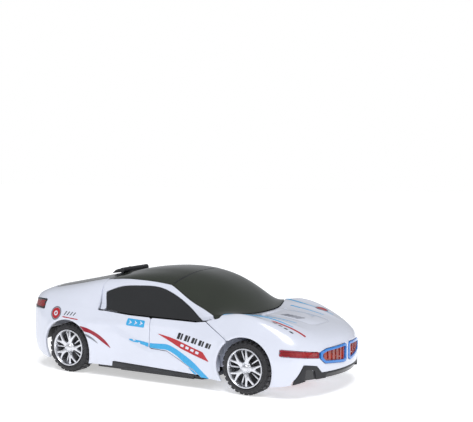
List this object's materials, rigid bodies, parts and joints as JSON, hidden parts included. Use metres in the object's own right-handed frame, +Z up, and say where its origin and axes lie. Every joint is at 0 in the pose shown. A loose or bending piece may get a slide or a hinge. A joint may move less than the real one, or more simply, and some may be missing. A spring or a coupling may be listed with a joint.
{
  "type": "transforming robot car",
  "caption": "Battery toy sports car whose nose rises on telescoping legs to become a standing robot, with sliding door arms, a flip-up head, a hinged roof and rolling wheels",
  "frame": {"origin": "on the ground under the middle of the car, half-way between the axles", "axes": "+X towards the nose, +Y to the car's left, +Z up"},
  "size_m": [0.22, 0.091, 0.0682],
  "materials": {
    "white_body": "glossy painted plastic",
    "white_limb": "satin moulded plastic",
    "black_plastic": "satin moulded plastic",
    "smoked_glass": "smoked clear plastic",
    "dark_glass": "dark clear plastic",
    "red_lens": "clear red plastic",
    "blue_plastic": "glossy",
    "clear_blue": "clear pale blue plastic",
    "steel": "drawn wire",
    "motor_can": "plated can",
    "battery_cell": "printed sleeve",
    "circuit_green": "solder mask",
    "tyre_rubber": "moulded rubber",
    "silver_rim": "vacuum-plated plastic"
  },
  "bodies": {
    "base": {"chassis": "black_plastic", "rear_shell": "white_body", "rear_window": "smoked_glass", "tail_lamp_left": "red_lens", "tail_lamp_right": "red_lens", "rear_diffuser": "black_plastic", "roof_hinge": "black_plastic", "roof_pin": "steel", "foot_block_left": "white_limb", "foot_block_right": "white_limb", "leg_pin": "steel", "battery_cover": "black_plastic", "cell_1": "battery_cell", "cell_2": "battery_cell", "cell_3": "battery_cell", "circuit_board": "circuit_green", "speaker": "black_plastic", "drive_motor": "motor_can", "lift_gearbox": "black_plastic"},
    "legs": {"leg_left": "white_limb", "leg_right": "white_limb", "leg_gear": "black_plastic"},
    "torso": {"torso_shell": "white_limb", "chest_lens": "red_lens", "waist_belt": "blue_plastic", "knee_lens_left": "red_lens", "knee_lens_right": "red_lens", "hood_pin": "steel"},
    "hood": {"hood_shell": "white_body", "hood_frame": "white_limb", "front_splitter": "black_plastic", "nose_lamp_left": "red_lens", "nose_lamp_right": "red_lens", "headlamp_left": "red_lens", "headlamp_right": "red_lens", "head_pin": "steel"},
    "head": {"head_flap": "white_body", "helmet": "clear_blue", "face_mask": "blue_plastic"},
    "arm_left": {"door_left": "white_body", "forearm_left": "white_limb"},
    "arm_right": {"door_right": "white_body", "forearm_right": "white_limb"},
    "front_wheel_left": {"front_tyre_left": "tyre_rubber", "front_rim_left": "silver_rim"},
    "front_wheel_right": {"front_tyre_right": "tyre_rubber", "front_rim_right": "silver_rim"},
    "canopy": {"canopy_frame": "white_body", "roof_glass": "smoked_glass", "side_window_left": "dark_glass", "side_window_right": "dark_glass"},
    "rear_wheels": {"rear_axle": "steel", "rear_tyre_left": "tyre_rubber", "rear_tyre_right": "tyre_rubber", "rear_rim_left": "silver_rim", "rear_rim_right": "silver_rim"},
    "steering_turret": {"turret": "black_plastic"},
    "drive_pair": {"drive_wheels": "tyre_rubber"},
    "lift_drive": {"lift_pinion": "steel"},
    "power_slider": {"power_switch": "black_plastic"}
  },
  "joints": [
    {"name": "leg_lift", "type": "hinge", "parent": "base", "child": "legs", "pos_m": [0.022, 0, 0.026], "axis": [0, -1, 0], "range_deg": [0, 90]},
    {"name": "torso_slide", "type": "slide", "parent": "legs", "child": "torso", "axis": [1, 0, 0], "range_m": [0, 0.05]},
    {"name": "hood_level", "type": "hinge", "parent": "torso", "child": "hood", "pos_m": [0.088, 0, 0.025], "axis": [0, -1, 0], "range_deg": [-90, 0]},
    {"name": "head_flip", "type": "hinge", "parent": "hood", "child": "head", "pos_m": [0.061, 0, 0.0424], "axis": [0, -1, 0], "range_deg": [0, 95]},
    {"name": "arm_left_slide", "type": "slide", "parent": "hood", "child": "arm_left", "axis": [0, 1, 0], "range_m": [0, 0.02]},
    {"name": "arm_right_slide", "type": "slide", "parent": "hood", "child": "arm_right", "axis": [0, -1, 0], "range_m": [0, 0.02]},
    {"name": "canopy_lift", "type": "hinge", "parent": "base", "child": "canopy", "pos_m": [-0.045, 0, 0.064], "axis": [0, -1, 0], "range_deg": [0, 95]},
    {"name": "lift_pinion_spin", "type": "hinge", "parent": "base", "child": "lift_drive", "pos_m": [0.00966, 0, 0.03313], "axis": [0, -1, 0], "range_deg": [-162, 0]},
    {"name": "front_left_spin", "type": "hinge", "parent": "arm_left", "child": "front_wheel_left", "pos_m": [0.065, 0.038, 0.0161], "axis": [0, 1, 0], "continuous": true},
    {"name": "front_right_spin", "type": "hinge", "parent": "arm_right", "child": "front_wheel_right", "pos_m": [0.065, -0.038, 0.0161], "axis": [0, 1, 0], "continuous": true},
    {"name": "rear_axle_spin", "type": "hinge", "parent": "base", "child": "rear_wheels", "pos_m": [-0.066, 0, 0.0158], "axis": [0, 1, 0], "continuous": true},
    {"name": "turret_swivel", "type": "hinge", "parent": "base", "child": "steering_turret", "pos_m": [-0.002, 0, 0.007], "axis": [0, 0, 1], "continuous": true},
    {"name": "drive_spin", "type": "hinge", "parent": "steering_turret", "child": "drive_pair", "pos_m": [-0.002, 0, 0.007], "axis": [0, 1, 0], "continuous": true},
    {"name": "switch_slide", "type": "slide", "parent": "base", "child": "power_slider", "axis": [0, 1, 0], "range_m": [0, 0.004]}
  ],
  "couplings": [
    {"joint": "torso_slide", "follows": "leg_lift", "m_per_rad": 0.03183},
    {"joint": "hood_level", "follows": "leg_lift", "ratio": -1},
    {"joint": "head_flip", "follows": "leg_lift", "ratio": 1.0555},
    {"joint": "arm_left_slide", "follows": "leg_lift", "m_per_rad": 0.01273},
    {"joint": "arm_right_slide", "follows": "leg_lift", "m_per_rad": 0.01273},
    {"joint": "canopy_lift", "follows": "leg_lift", "ratio": 1.0555},
    {"joint": "lift_pinion_spin", "follows": "leg_lift", "ratio": -1.8}
  ]
}
